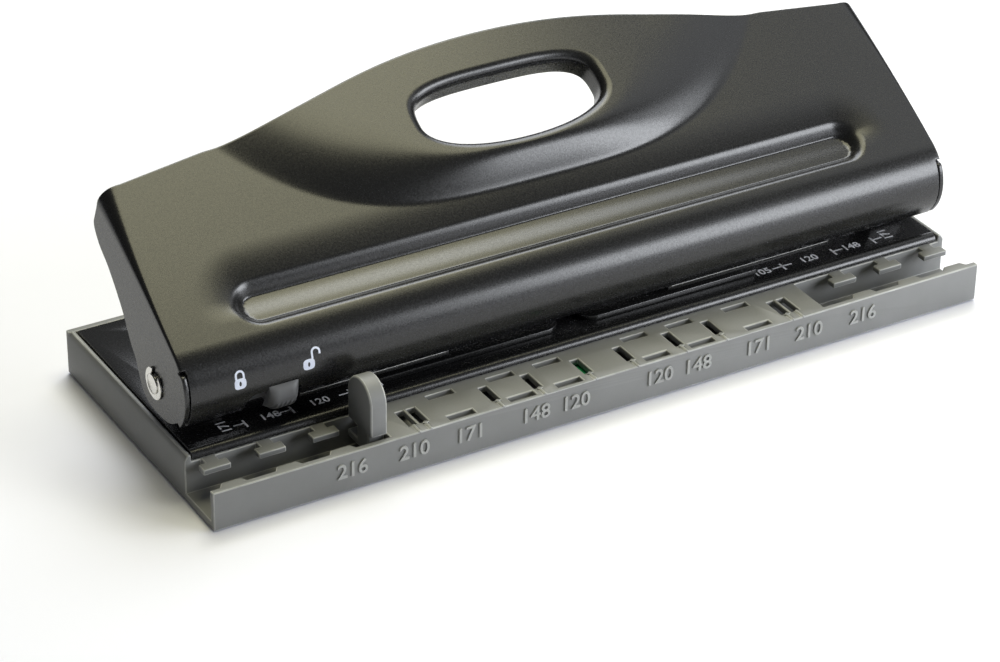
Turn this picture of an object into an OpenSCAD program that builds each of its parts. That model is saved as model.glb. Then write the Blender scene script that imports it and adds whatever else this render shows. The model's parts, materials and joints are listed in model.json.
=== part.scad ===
// Adjustable six-hole planner punch.
// Origin: centre of the footprint on the surface it stands on. +X right, +Y back, +Z up, millimetres.

/* [Tray] */
// Length of the tray along the punch
tray_w = 215; // [215:1:220]
// Depth of the tray from front to back
tray_d = 80; // [80:1:84]
// Thickness of the tray floor
floor_t = 1.8; // [1.4:0.1:2]
// Height of the front wall above the table
front_wall_h = 10.5; // [10.2:0.1:10.5]
// Height of the side and back walls
side_wall_h = 12.2; // [11.8:0.1:12.6]
// Thickness of the tray walls
wall_t = 1.7; // [1.4:0.1:1.8]
// Half-length of the covered middle deck
deck_half = 61.1; // [60.5:0.1:61.1]
// How far the feet hold the tray off the table
foot_stand = 0.4; // [0.3:0.1:0.5]

/* [Paper guide] */
// Page lengths that the guide has a window for
page_l = [120, 148, 171, 210, 216];
// Distance from the guide's face to its flag
flag_offset = 54; // [54:1:55]
// Thickness of the guide's upright plate
guide_t = 4.3; // [4:0.1:4.6]
// Height of the guide's top
guide_top = 24.2; // [23:0.1:24.2]

/* [Frame] */
// Height of the base plate's top face
plate_top = 12.6; // [12.6:0.1:12.8]
// Thickness of the base plate
plate_t = 1.6; // [1.4:0.1:1.6]
// Half-length of the base plate
plate_half = 105.4; // [105:0.1:105.4]
// Radius of the handle's shaft
shaft_r = 2.5; // [2.3:0.1:2.6]
// Height of the paper gap's roof
guide_z = 15.4; // [15.4:0.1:15.6]

/* [Punch heads] */
// Distance from one hole to the next
pin_pitch = 19; // [19:0.5:19]
// Distance from the middle to the first pin
first_pin = 9.5; // [9.5:0.1:10]
// Radius of a punch pin
pin_r = 3; // [2.75:0.05:3]
// Running clearance of a pin in its bores
pin_gap = 0.05; // [0.03:0.01:0.08]
// Number of active turns in a pin's spring
spring_turns = 5; // [4:1:5]

/* [Handle] */
// Half-length of the handle
handle_half = 106.5; // [106:0.1:106.5]
// Thickness of the handle's sheet
sheet_t = 1.2; // [1:0.1:1.2]
// Slope of the handle's top panel
panel_slope = 33.5; // [33:0.5:34]
// Outer radius of the handle's rounded nose
nose_r = 12; // [11.8:0.1:12]
// Height of the raised grip above the panel
grip_rise = 4.2; // [3.5:0.1:4.5]

/* [Hidden] */
$fn = 48;

// Small overlap that joins shapes cleanly
eps = 0.05;
tray_half = tray_w / 2;
tray_front = -tray_d / 2;
tray_back = tray_d / 2;
floor_top = foot_stand + floor_t;

// Channel along the tray's front
channel_front = tray_front + wall_t;
channel_back = tray_front + 14.6;
channel_wall_t = 1.5;
shelf_z = front_wall_h;
deck_t = 1.8;
window_w = 2.3;
window_y = [tray_front + 3.6, tray_front + 10.4];
slot_w = 7;
slot_d = 2;
slot_x = [12.4, 25.4, 41.9];
tab_x = [73.5, 87.4, 101.5];
tab_w = 7;
tab_t = 1.5;

// Supports under the base plate and feet under the tray
post_r = 3;
post_x = [40, 98];
post_y = [-17, 33];
foot_r = 5;
foot_t = 1.2;
foot_x = 96;
foot_y = 31;

// Paper guide
guide_face = -(deck_half + 0.3);
guide_y = [tray_front + 2.4, tray_front + 13.8];
guide_travel = (page_l[4] - page_l[0]) / 2;
bar_z = 5.6;
bar_t = 1.8;
flag_w = 3.6;
flag_t = 0.8;
flag_end = -(page_l[0] / 2 - flag_offset) + flag_w / 2;

// Base plate
plate_front = tray_front + 14.8;
plate_back = tray_back - wall_t - 0.7;
bend_r = 2;
flange_low = 3.2;
slot_half = 3.8;
pin_y = 6;
chip_slot = [5.5, 77.5];

// Ears and shaft
pivot_y = -9;
pivot_z = 23;
ear_x = 101.2;
ear_t = 1.6;
ear_eye_r = 6.2;
ear_foot_y = [-14.5, 3.5];
ear_foot_w = 8.7;
ear_bottom = plate_top + eps;
tab_y = [-16, -5.2];
tab_in = 91;
shaft_half = 107.4;
groove_in = handle_half + 0.1;
clip_t = 0.5;
clip_r = 4;

// Front guide and rear rail
guide_sheet = 1.2;
lip_front = tray_front + 20;
lip_half = 75;
lip_window = [-35, 27];
guide_back = -4;
rail_half = 90;
rail_low = plate_top + eps;
rivet_r = 1.5;
rivet_gap = 0.04;
rail_rivet_x = [28, 84];
rail_rivet_y = 26.5;
ear_rivet_y = [-4.6, 0.9];
ear_rivet_x = 96.5;

// Punch heads
head_x = [3.2, 53.5];
die_z = plate_top + 0.1;
die_t = 1.3;
die_front = lip_front + 0.3;
die_back = 21.5;
head_t = 1.4;
web_y = 14;
roof_z = 15.6;
roof_front = -2.5;
collar_r = 4;
collar_top = 18.6;
head_rivet_y = 17.8;

// Pins and springs
pin_low = 16.3;
pin_top = 30.2;
clip_z = 27.2;
pin_clip_r = 5.2;
pin_clip_t = 0.8;
wire_r = 0.35;
coil_r = 4.65;

// Handle panel and nose
nose_y = -13;
nose_z = 26;
nose_low_angle = 226;
panel_bottom = 4;
panel_lift = 0.06;
panel_y = nose_y - nose_r * sin(panel_slope) - panel_bottom * cos(panel_slope);
panel_z = nose_z + nose_r * cos(panel_slope) - panel_bottom * sin(panel_slope);
groove_s = 10.7;
groove_half = 81.5;
groove_r = 6.2;
groove_floor_r = 5;
groove_depth = 2.5;
hole_s = 42.3;
hole_a = 24.7;
hole_b = 9.2;
hole_power = 2.6;
rim_t = 1.2;
grip_half = 73;
grip_top_inset = 0.8;
cheek_inset = 0.5;
// Step between the outer faces of the cheeks, the panel and the nose
edge_step = 0.06;

// Press bar on the inside of the panel
bar_s = 22.5;
bar_n = -16;
bar_r = 2.5;
bar_half = 84;

// Lock slider in the nose
lock_x = [-85.3, -77.7];
lock_cut_x = [-90.6, -76.2];
lock_cut_z = 22.6;
knob_y = -21.9;
knob_z = 21.1;
knob_r = 4.2;
knob_round = 2;

// Top edge of the panel, measured up the slope
function panel_top(x) = abs(x) > 78
    ? 48.6 + 0.13 * (104 - abs(x))
    : 51.9 + 11.9 * (0.5 + 0.5 * cos(180 * x / 80)) + 1.3 * pow(sin(180 * x / 80), 2);
// Lower edge of the raised grip
function grip_low(x) = 23 + 28 * pow(abs(x) / 75, 3.6);
// Side view (Y, Z) of a point s up the slope and n out of the panel
function panel_point(s, n) = [panel_y + s * cos(panel_slope) - n * sin(panel_slope),
    panel_z + s * sin(panel_slope) + n * cos(panel_slope)];
// Outline of the grip hole, grown by g
function hole_ring(g) = [for (a = [0 : 10 : 350])
    [(hole_a + g) * sign(cos(a)) * pow(abs(cos(a)), 2 / hole_power),
     hole_s + (hole_b + g) * sign(sin(a)) * pow(abs(sin(a)), 2 / hole_power)]];

// Puts its children in the panel's plane: X along the handle, Y up the slope, Z out of the panel
module on_panel() {
    translate([0, panel_y, panel_z]) rotate([panel_slope, 0, 0]) translate([0, 0, panel_lift]) children();
}

// Extrudes a side view (Y, Z) along X from x0 to x1
module along_x(x0, x1) {
    translate([x0, 0, 0]) rotate([90, 0, 90]) linear_extrude(x1 - x0) children();
}

// A cylinder along X
module rod_x(r, x0, x1, y, z) {
    translate([x0, y, z]) rotate([0, 90, 0]) cylinder(r = r, h = x1 - x0);
}

// A flat bar with round ends along X
module race(half, r) {
    translate([-half, -r]) square([2 * half, 2 * r]);
    for (s = [-1, 1]) translate([s * half, 0]) circle(r);
}

// ---- Tray ----

module tray_shell() {
    translate([-tray_half, tray_front, foot_stand]) cube([tray_w, tray_d, floor_t]);
    translate([-tray_half, tray_front, foot_stand]) cube([tray_w, wall_t, front_wall_h - foot_stand]);
    translate([-tray_half, channel_back, foot_stand])
        cube([tray_w, channel_wall_t, shelf_z - foot_stand]);
    translate([-tray_half, tray_back - wall_t, foot_stand])
        cube([tray_w, wall_t, side_wall_h - foot_stand]);
    for (s = [0, 1]) mirror([s, 0, 0])
        translate([0, tray_back, 0]) rotate([90, 0, 0]) linear_extrude(tray_back - channel_back)
            polygon([[tray_half, foot_stand], [tray_half, side_wall_h - 1.3],
                [tray_half - 0.9, side_wall_h], [tray_half - wall_t, side_wall_h],
                [tray_half - wall_t, foot_stand]]);
}

module tray_deck() {
    translate([-deck_half, tray_front, shelf_z - deck_t])
        cube([2 * deck_half, channel_back - tray_front + eps, deck_t]);
    for (s = [-1, 1], l = page_l) translate([s * (l / 2 - flag_offset) - 0.35, tray_front, shelf_z - eps])
        cube([0.7, window_y[0] - tray_front, 0.35]);
}

module tray_tabs() {
    for (s = [-1, 1], x = tab_x) translate([s * x, 0, shelf_z - tab_t]) {
        translate([-tab_w / 2, channel_back - 4.8, 0]) cube([tab_w, 2.8, tab_t]);
        translate([-tab_w / 4, channel_back - 2.2, 0]) cube([tab_w / 2, 2.4, tab_t]);
        translate([0, channel_front - eps, 0]) linear_extrude(front_wall_h - shelf_z + tab_t)
            polygon([[-tab_w / 2, 0], [tab_w / 2, 0], [tab_w / 2 - 1, 1.6], [1 - tab_w / 2, 1.6]]);
    }
}

module tray_cuts() {
    for (s = [-1, 1], l = page_l) translate([s * (l / 2 - flag_offset) - window_w / 2, window_y[0], shelf_z - 3])
        cube([window_w, window_y[1] - window_y[0], 4]);
    for (s = [-1, 1], x = slot_x, y = [tray_front + 2.15, tray_front + 12.3])
        translate([s * x - slot_w / 2, y - slot_d / 2, shelf_z - 1.5]) cube([slot_w, slot_d, 3]);
    for (sx = [-1, 1], sy = [-1, 1]) translate([sx * foot_x, sy * foot_y, foot_stand - 1])
        cylinder(r = foot_r + 0.1, h = foot_t + 1 - foot_stand);
}

module tray() {
    color([0.42, 0.43, 0.42]) {
        difference() {
            union() {
                tray_shell();
                tray_deck();
            }
            tray_cuts();
        }
        tray_tabs();
        for (sx = [-1, 1], x = post_x, y = post_y) translate([sx * x, y, floor_top - eps])
            cylinder(r = post_r, h = plate_top - plate_t - 0.1 - floor_top + eps);
    }
}

module rubber_feet() {
    color([0.1, 0.1, 0.1])
        for (sx = [-1, 1], sy = [-1, 1]) translate([sx * foot_x, sy * foot_y, 0])
            cylinder(r = foot_r, h = foot_t);
}

// ---- Paper guide ----

module paper_guide() {
    mid_y = (guide_y[0] + guide_y[1]) / 2;
    half = (guide_y[1] - guide_y[0]) / 2;
    color([0.45, 0.46, 0.45]) {
        along_x(guide_face - guide_t, guide_face) {
            translate([mid_y, guide_top - half]) circle(half);
            translate([guide_y[0], front_wall_h + 0.3])
                square([2 * half, guide_top - half - front_wall_h - 0.3]);
            translate([channel_front + 2.1, bar_z]) square([5.6, front_wall_h + 1 - bar_z]);
        }
        translate([guide_face - guide_t, channel_front + 0.5, bar_z])
            cube([flag_end - guide_face + guide_t, channel_back - channel_front - 1, bar_t]);
    }
}

module guide_flag() {
    color([0.1, 0.6, 0.25])
        translate([flag_end - flag_w, window_y[0] - 0.8, bar_z + bar_t])
            cube([flag_w, window_y[1] - window_y[0] + 1.6, flag_t]);
}

// ---- Frame ----

module plate_profile() {
    translate([plate_front + bend_r, plate_top - plate_t]) square([plate_back - plate_front - bend_r, plate_t]);
    intersection() {
        translate([plate_front + bend_r, plate_top - bend_r]) difference() {
            circle(bend_r);
            circle(bend_r - plate_t);
        }
        translate([plate_front, plate_top - bend_r]) square(bend_r);
    }
}

module base_plate() {
    color([0.07, 0.07, 0.075]) difference() {
        union() {
            along_x(-plate_half, plate_half) plate_profile();
            for (s = [0, 1]) mirror([s, 0, 0])
                translate([plate_half - plate_t, plate_front + bend_r + 1.2, flange_low])
                    cube([plate_t, plate_back - plate_front - bend_r - 1.2, plate_top - flange_low]);
            translate([-plate_half, plate_back - plate_t, flange_low])
                cube([2 * plate_half, plate_t, plate_top - flange_low]);
        }
        for (s = [-1, 1]) translate([s * (chip_slot[0] + chip_slot[1]) / 2, pin_y, 0])
            linear_extrude(20) race((chip_slot[1] - chip_slot[0]) / 2 - slot_half, slot_half);
        rivet_holes(rivet_r + rivet_gap);
    }
}

// The holes, or the shanks, of the rivets that stand through the base plate
module rivet_holes(r) {
    for (s = [-1, 1]) {
        for (x = rail_rivet_x) translate([s * x, rail_rivet_y, plate_top - plate_t - 0.5]) cylinder(r = r, h = 6);
        for (y = ear_rivet_y) translate([s * ear_rivet_x, y, plate_top - plate_t - 0.5]) cylinder(r = r, h = 6);
    }
}

module ear() {
    difference() {
        union() {
            along_x(ear_x, ear_x + ear_t) {
                polygon([[ear_foot_y[0], ear_bottom], [ear_foot_y[1], ear_bottom],
                    [pivot_y + ear_eye_r - 0.8, pivot_z], [pivot_y - ear_eye_r + 0.8, pivot_z],
                    [tab_y[0], 18.3], [tab_y[0], 16.65], [ear_foot_y[0], 16.65]]);
                translate([pivot_y, pivot_z]) circle(ear_eye_r);
            }
            translate([ear_x - ear_foot_w, ear_foot_y[0], ear_bottom])
                cube([ear_foot_w + eps, ear_foot_y[1] - ear_foot_y[0], ear_t]);
            translate([tab_in, tab_y[0], guide_z + guide_sheet + eps])
                cube([ear_x - tab_in + eps, tab_y[1] - tab_y[0], ear_t]);
        }
        rod_x(shaft_r + pin_gap, ear_x - 1, ear_x + ear_t + 1, pivot_y, pivot_z);
        for (y = ear_rivet_y) translate([ear_rivet_x, y, plate_top - 1]) cylinder(r = rivet_r + rivet_gap, h = 5);
        translate([ear_rivet_x, -10, guide_z]) cylinder(r = rivet_r + rivet_gap, h = 5);
    }
}

module ear_right() {
    color([0.08, 0.08, 0.085]) ear();
}

module ear_left() {
    color([0.08, 0.08, 0.085]) mirror([1, 0, 0]) ear();
}

module front_guide() {
    color([0.09, 0.09, 0.095]) {
        translate([0, 0, guide_z]) linear_extrude(guide_sheet) difference() {
            union() {
                translate([-99.5, -14]) square([199, guide_back + 14]);
                translate([-lip_half, lip_front]) square([2 * lip_half, -13.9 - lip_front]);
            }
            translate([lip_window[0] + 3, lip_front - 1]) square([lip_window[1] - lip_window[0] - 6, 9]);
            translate([lip_window[0], lip_front - 1]) square([lip_window[1] - lip_window[0], 6]);
            for (s = [-1, 1]) translate([s * ear_rivet_x, -10]) circle(rivet_r + rivet_gap);
        }
        translate([-90, guide_back - guide_sheet, guide_z]) cube([180, guide_sheet, 19.6 - guide_z]);
    }
}

module rear_rail() {
    color([0.5, 0.51, 0.53]) difference() {
        along_x(-rail_half, rail_half)
            polygon([[22, rail_low], [30, rail_low], [30, 14.2], [23.4, 14.2], [23.4, 17.2], [20.4, 17.2],
                [20.4, 15.75], [22, 15.75]]);
        rivet_holes(rivet_r + rivet_gap);
    }
}

module rivet(x, y, z0, z1) {
    translate([x, y, z0]) cylinder(r = rivet_r, h = z1 - z0);
    for (z = [z0 - 0.7, z1]) translate([x, y, z]) cylinder(r = rivet_r + 1, h = 0.7);
}

module frame_rivets() {
    under = plate_top - plate_t;
    color([0.6, 0.6, 0.62]) for (s = [-1, 1]) {
        for (x = rail_rivet_x) rivet(s * x, rail_rivet_y, under, 14.2);
        for (y = ear_rivet_y) rivet(s * ear_rivet_x, y, under, ear_bottom + ear_t);
        rivet(s * ear_rivet_x, -10, guide_z, guide_z + guide_sheet + eps + ear_t);
    }
}

module pivot_shaft() {
    color([0.75, 0.75, 0.74]) difference() {
        rod_x(shaft_r, -shaft_half, shaft_half, pivot_y, pivot_z);
        for (s = [0, 1]) mirror([s, 0, 0]) difference() {
            rod_x(shaft_r + 1, groove_in - 0.02, groove_in + clip_t + 0.02, pivot_y, pivot_z);
            rod_x(shaft_r - 0.5, groove_in - 1, groove_in + clip_t + 1, pivot_y, pivot_z);
        }
    }
}

module shaft_clips() {
    color([0.72, 0.7, 0.62]) for (s = [0, 1]) mirror([s, 0, 0]) difference() {
        rod_x(clip_r, groove_in, groove_in + clip_t, pivot_y, pivot_z);
        rod_x(shaft_r - 0.45, groove_in - 1, groove_in + clip_t + 1, pivot_y, pivot_z);
        translate([groove_in - 1, pivot_y, pivot_z]) rotate([20, 0, 0])
            translate([0, -1.6, 0]) cube([3, 3.2, clip_r + 1]);
    }
}

// ---- Handle ----

module nose_profile(r) {
    a0 = 90 + panel_slope;
    intersection() {
        translate([nose_y, nose_z]) difference() {
            circle(r = r, $fn = 96);
            circle(r = r - sheet_t, $fn = 96);
        }
        translate([nose_y, nose_z]) polygon([[0, 0], [40 * cos(a0), 40 * sin(a0)], [-60, 0],
            [40 * cos(nose_low_angle), 40 * sin(nose_low_angle)]]);
    }
}

module cheek_profile() {
    difference() {
        union() {
            translate([nose_y, nose_z]) circle(r = nose_r - cheek_inset, $fn = 96);
            polygon([[-20.4, 18.2], [-15, 15.6], [-7, 15.2], [-1.5, 17], [1.5, 24.2], [4.5, 27.5],
                [7.7, 33.7], [14.1, 41.5], [19.2, 45.7], [21.8, 50], [21.3, 54.5],
                panel_point(47, -3), panel_point(46, -cheek_inset), panel_point(panel_bottom, -cheek_inset)]);
        }
        translate([pivot_y, pivot_z]) circle(shaft_r + pin_gap);
        translate([-30, 0]) square([60, 15.1]);
    }
}

module panel_outline() {
    half = handle_half - edge_step;
    polygon(concat([[-half, panel_bottom - 1], [half, panel_bottom - 1], [half, 44]],
        [for (x = [104 : -4 : -104]) [x, panel_top(x)]], [[-half, 44]]));
}

module grip_outline(g) {
    polygon(concat([for (x = [-grip_half + g : (grip_half - g) / 16 : grip_half - g]) [x, grip_low(x) + g]],
        [for (x = [grip_half - g : -(grip_half - g) / 16 : -grip_half + g]) [x, panel_top(x) - grip_top_inset - g]]));
}

module handle_panel() {
    difference() {
        union() {
            translate([0, 0, -sheet_t]) linear_extrude(sheet_t) panel_outline();
            linear_extrude(grip_rise) grip_outline(0);
            translate([0, groove_s, -groove_depth - sheet_t]) linear_extrude(groove_depth + sheet_t)
                race(groove_half, groove_r);
        }
        translate([0, groove_s, -groove_depth]) linear_extrude(10) race(groove_half, groove_floor_r);
        translate([0, 0, -sheet_t - 1]) linear_extrude(grip_rise + 1) difference() {
            grip_outline(sheet_t);
            polygon(hole_ring(rim_t));
        }
        translate([0, 0, -5]) linear_extrude(20) polygon(hole_ring(0));
    }
    translate([0, 0, -2]) linear_extrude(grip_rise + 2) difference() {
        polygon(hole_ring(rim_t));
        polygon(hole_ring(0));
    }
}

module handle_shell() {
    color([0.06, 0.06, 0.065]) {
        on_panel() handle_panel();
        difference() {
            along_x(2 * edge_step - handle_half, handle_half - 2 * edge_step) nose_profile(nose_r);
            translate([lock_cut_x[0], -40, 10])
                cube([lock_cut_x[1] - lock_cut_x[0], 24, lock_cut_z - 10]);
        }
        for (s = [0, 1]) mirror([s, 0, 0]) along_x(handle_half - sheet_t, handle_half) cheek_profile();
    }
}

module press_bar() {
    color([0.55, 0.56, 0.58]) on_panel() {
        translate([-bar_half, bar_s - 1, bar_n]) cube([2 * bar_half, 2, -bar_n - sheet_t - 0.02]);
        translate([-bar_half, bar_s - 3.6, -sheet_t - 1.6]) cube([2 * bar_half, 4, 1.58]);
        translate([-bar_half, bar_s, bar_n]) rotate([0, 90, 0]) cylinder(r = bar_r, h = 2 * bar_half);
    }
}

// A barrel with rounded ends along X
module knob_barrel() {
    half = (lock_x[1] - lock_x[0]) / 2;
    translate([lock_x[0] + half, knob_y, knob_z]) rotate([0, 90, 0]) rotate_extrude() {
        translate([0, -half]) square([knob_r - knob_round, 2 * half]);
        translate([0, knob_round - half]) square([knob_r, 2 * (half - knob_round)]);
        for (s = [-1, 1]) translate([knob_r - knob_round, s * (half - knob_round)]) intersection() {
            circle(knob_round);
            translate([0, s < 0 ? -knob_round : 0]) square(knob_round);
        }
    }
}

module lock_slider() {
    color([0.16, 0.16, 0.165]) {
        difference() {
            knob_barrel();
            rod_x(nose_r + 0.35, -100, -60, nose_y, nose_z);
        }
        along_x(lock_x[0] + 1, lock_x[1] - 1) intersection() {
            translate([nose_y, nose_z]) difference() {
                circle(r = nose_r + 1, $fn = 96);
                circle(r = nose_r - 2.4, $fn = 96);
            }
            translate([-26, 17.6]) square([8, 4.2]);
        }
        along_x(lock_x[0] - 5, lock_x[1] + 5) intersection() {
            translate([nose_y, nose_z]) difference() {
                circle(r = nose_r - sheet_t - 0.35, $fn = 96);
                circle(r = nose_r - sheet_t - 1.7, $fn = 96);
            }
            translate([-26, 19.2]) square([8, 9]);
        }
    }
}

// ---- Punch heads ----

function pin_x(i) = first_pin + pin_pitch * (i - 1);

module die_plate() {
    difference() {
        translate([0, 0, die_z]) linear_extrude(die_t) difference() {
            union() {
                translate([head_x[0], die_front + 4]) square([head_x[1] - head_x[0], die_back - die_front - 4]);
                translate([head_x[0] + 4, die_front]) square([head_x[1] - head_x[0] - 4, 5]);
                translate([head_x[0] + 4, die_front + 4]) circle(4);
            }
            for (i = [1 : 3]) translate([pin_x(i), pin_y]) circle(pin_r + pin_gap);
        }
        head_rivet_shanks(rivet_r + rivet_gap);
    }
}

module head_rivet_shanks(r) {
    for (x = [head_x[0] + 6, head_x[1] - 6]) translate([x, head_rivet_y, die_z]) cylinder(r = r, h = die_t + head_t);
}

module head_bracket() {
    low = die_z + die_t;
    difference() {
        union() {
            along_x(head_x[0], head_x[1]) {
                translate([web_y, low]) square([die_back - web_y, head_t]);
                translate([web_y, low]) square([head_t, roof_z + head_t - low]);
                translate([roof_front, roof_z]) square([web_y - roof_front + head_t, head_t]);
            }
            for (i = [1 : 3]) translate([pin_x(i), pin_y, roof_z]) cylinder(r = collar_r, h = collar_top - roof_z);
        }
        for (i = [1 : 3]) translate([pin_x(i), pin_y, 10]) cylinder(r = pin_r + pin_gap, h = 20);
        head_rivet_shanks(rivet_r + rivet_gap);
    }
}

module head_rivets() {
    head_rivet_shanks(rivet_r);
    for (x = [head_x[0] + 6, head_x[1] - 6]) translate([x, head_rivet_y, die_z + die_t + head_t])
        cylinder(r = rivet_r + 0.8, h = 0.6);
}

module pin(i) {
    translate([pin_x(i), pin_y, 0]) difference() {
        union() {
            translate([0, 0, pin_low]) cylinder(r = pin_r, h = pin_top - 1 - pin_low);
            translate([0, 0, pin_top - 1]) cylinder(r1 = pin_r, r2 = pin_r - 0.9, h = 1);
        }
        translate([0, 0, pin_low - 3.4]) rotate([90, 0, 0]) cylinder(r = 4.4, h = 10, center = true);
        translate([0, 0, clip_z - 0.02]) difference() {
            cylinder(r = pin_r + 1, h = pin_clip_t + 0.04);
            cylinder(r = pin_r - 0.5, h = pin_clip_t + 0.04);
        }
    }
}

module pin_clips() {
    for (i = [1 : 3]) translate([pin_x(i), pin_y, clip_z]) difference() {
        cylinder(r = pin_clip_r, h = pin_clip_t);
        translate([0, 0, -1]) cylinder(r = pin_r - 0.45, h = pin_clip_t + 2);
        translate([-1.8, 0, -1]) cube([3.6, pin_clip_r + 1, pin_clip_t + 2]);
    }
}

// A coil with closed ends: rings of six points swept along a helix
module coil(x, y, z0, z1) {
    sides = 6;
    steps = 14 * spring_turns;
    function ring_z(t) = z0 + wire_r + (z1 - z0 - 2 * wire_r) * t / steps;
    points = [for (t = [0 : steps], k = [0 : sides - 1])
        let (a = 360 * spring_turns * t / steps, b = 360 * k / sides, r = coil_r + wire_r * cos(b))
        [x + r * cos(a), y + r * sin(a), ring_z(t) + wire_r * sin(b)]];
    walls = [for (t = [0 : steps - 1], k = [0 : sides - 1])
        [t * sides + k, (t + 1) * sides + k, (t + 1) * sides + (k + 1) % sides, t * sides + (k + 1) % sides]];
    last = steps * sides;
    ends = [[for (k = [0 : sides - 1]) k], [for (k = [sides - 1 : -1 : 0]) last + k]];
    polyhedron(points, concat(walls, ends));
}

module pin_spring(i) {
    coil(pin_x(i), pin_y, roof_z + head_t + eps, clip_z - eps);
}

steel = [0.62, 0.63, 0.65];
module on_left() {
    mirror([1, 0, 0]) children();
}

module die_plate_left() { color([0.1, 0.1, 0.1]) on_left() die_plate(); }
module die_plate_right() { color([0.1, 0.1, 0.1]) die_plate(); }
module head_bracket_left() { color([0.1, 0.1, 0.1]) on_left() head_bracket(); }
module head_bracket_right() { color([0.1, 0.1, 0.1]) head_bracket(); }
module head_rivets_left() { color(steel) on_left() head_rivets(); }
module head_rivets_right() { color(steel) head_rivets(); }
module pin_left(i) { color(steel) on_left() pin(i); }
module pin_right(i) { color(steel) pin(i); }
module spring_left(i) { color(steel) on_left() pin_spring(i); }
module spring_right(i) { color(steel) pin_spring(i); }
module pin_clips_left() { color(steel) on_left() pin_clips(); }
module pin_clips_right() { color(steel) pin_clips(); }

tray();
rubber_feet();
paper_guide();
guide_flag();
base_plate();
ear_left();
ear_right();
front_guide();
rear_rail();
frame_rivets();
pivot_shaft();
shaft_clips();
handle_shell();
press_bar();
lock_slider();
die_plate_left();
die_plate_right();
head_bracket_left();
head_bracket_right();
head_rivets_left();
head_rivets_right();
pin_left(1);  // pin_left_1
pin_left(2);  // pin_left_2
pin_left(3);  // pin_left_3
pin_right(1);  // pin_right_1
pin_right(2);  // pin_right_2
pin_right(3);  // pin_right_3
spring_left(1);  // pin_spring_left_1
spring_left(2);  // pin_spring_left_2
spring_left(3);  // pin_spring_left_3
spring_right(1);  // pin_spring_right_1
spring_right(2);  // pin_spring_right_2
spring_right(3);  // pin_spring_right_3
pin_clips_left();
pin_clips_right();
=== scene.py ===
"""Looks of a six-hole planner punch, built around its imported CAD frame.

Sizes are millimetres in the CAD frame: +X along the punch, +Y to the back, +Z up. MM makes them metres.
"""

import json
import math

import bmesh
import bpy
from mathutils import Matrix, Vector

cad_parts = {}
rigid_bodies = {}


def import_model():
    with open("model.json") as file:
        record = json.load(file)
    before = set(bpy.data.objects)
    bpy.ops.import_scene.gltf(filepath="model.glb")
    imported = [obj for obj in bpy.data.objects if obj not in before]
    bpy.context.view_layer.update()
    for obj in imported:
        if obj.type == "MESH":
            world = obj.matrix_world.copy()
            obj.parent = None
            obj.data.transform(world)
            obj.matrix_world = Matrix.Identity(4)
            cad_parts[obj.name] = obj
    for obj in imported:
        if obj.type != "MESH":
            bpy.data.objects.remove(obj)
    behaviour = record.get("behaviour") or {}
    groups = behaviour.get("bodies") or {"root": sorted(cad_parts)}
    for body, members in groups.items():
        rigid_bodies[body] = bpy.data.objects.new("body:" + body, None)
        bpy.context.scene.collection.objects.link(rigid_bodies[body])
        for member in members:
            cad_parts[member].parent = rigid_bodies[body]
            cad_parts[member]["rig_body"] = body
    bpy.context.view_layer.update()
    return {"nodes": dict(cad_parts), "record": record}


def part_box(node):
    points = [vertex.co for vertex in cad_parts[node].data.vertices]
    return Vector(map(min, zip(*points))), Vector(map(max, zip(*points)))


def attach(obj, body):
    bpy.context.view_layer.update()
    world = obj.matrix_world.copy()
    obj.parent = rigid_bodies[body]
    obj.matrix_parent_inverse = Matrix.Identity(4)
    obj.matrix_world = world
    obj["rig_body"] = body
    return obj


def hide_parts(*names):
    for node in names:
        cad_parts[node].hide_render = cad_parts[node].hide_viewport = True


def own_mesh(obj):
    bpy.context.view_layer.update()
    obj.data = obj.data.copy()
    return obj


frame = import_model()

MM = 0.001


def box_mm(node):
    """Lowest and highest corner of a CAD node, in millimetres."""
    low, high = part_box(node)
    return low / MM, high / MM


TRAY_FRONT = box_mm("tray")[0].y
PLATE_LOW, PLATE_HIGH = box_mm("base_plate")
SHELL_LOW, SHELL_HIGH = box_mm("handle_shell")
LOCK_LOW, LOCK_HIGH = box_mm("lock_slider")

# Top of the tray's deck and front wall
DECK_TOP = 10.5

# ---- The handle's measures ----

HALF = SHELL_HIGH.x
SHEET = 1.2
SLOPE = math.radians(33.5)
NOSE_R = 12.0
NOSE_Y = SHELL_LOW.y + NOSE_R
NOSE_Z = SHELL_LOW.z + 10.9
NOSE_LIP = math.radians(226)
NOSE_END = math.pi / 2 + SLOPE
# Distance up the slope, from the panel's zero line, at which the nose's arc ends
PANEL_START = 4.0
# Fine rows of the panel end above the groove; the rest spread out up to the top edge
FINE_END = 19.6
FINE_ROWS = 42
UPPER_ROWS = 72
COLUMNS = 280
PANEL_Y = NOSE_Y - NOSE_R * math.sin(SLOPE) - PANEL_START * math.cos(SLOPE)
PANEL_Z = NOSE_Z + NOSE_R * math.cos(SLOPE) - PANEL_START * math.sin(SLOPE)

# The bend into each cheek is tight at the nose and wider at the top
BEND_TIGHT = 0.7
BEND_WIDE = 4.2
BEND_TOP_S = 48.0
BEND_SKIRT = 0.8
BEND_INSET = 1.2
BEND_STEPS = 7
# How far the top edge has dropped at the end of the bend
CORNER_DROP = 1.4
# The nose's rows from its lip upwards: the free ones end NOSE_GAP short of the cheek
NOSE_ROWS = 30
FREE_ROWS = 24
NOSE_GAP = 0.3

# Top edge of the panel, up the slope: level at the ends and a wave over the grip
END_HALF = 78
END_TOP = 48.6
END_TILT = 0.13
END_X = 104
WAVE_HALF = 80
WAVE_FOOT = 51.9
WAVE_RISE = 11.9
WAVE_FULLNESS = 1.3

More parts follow.
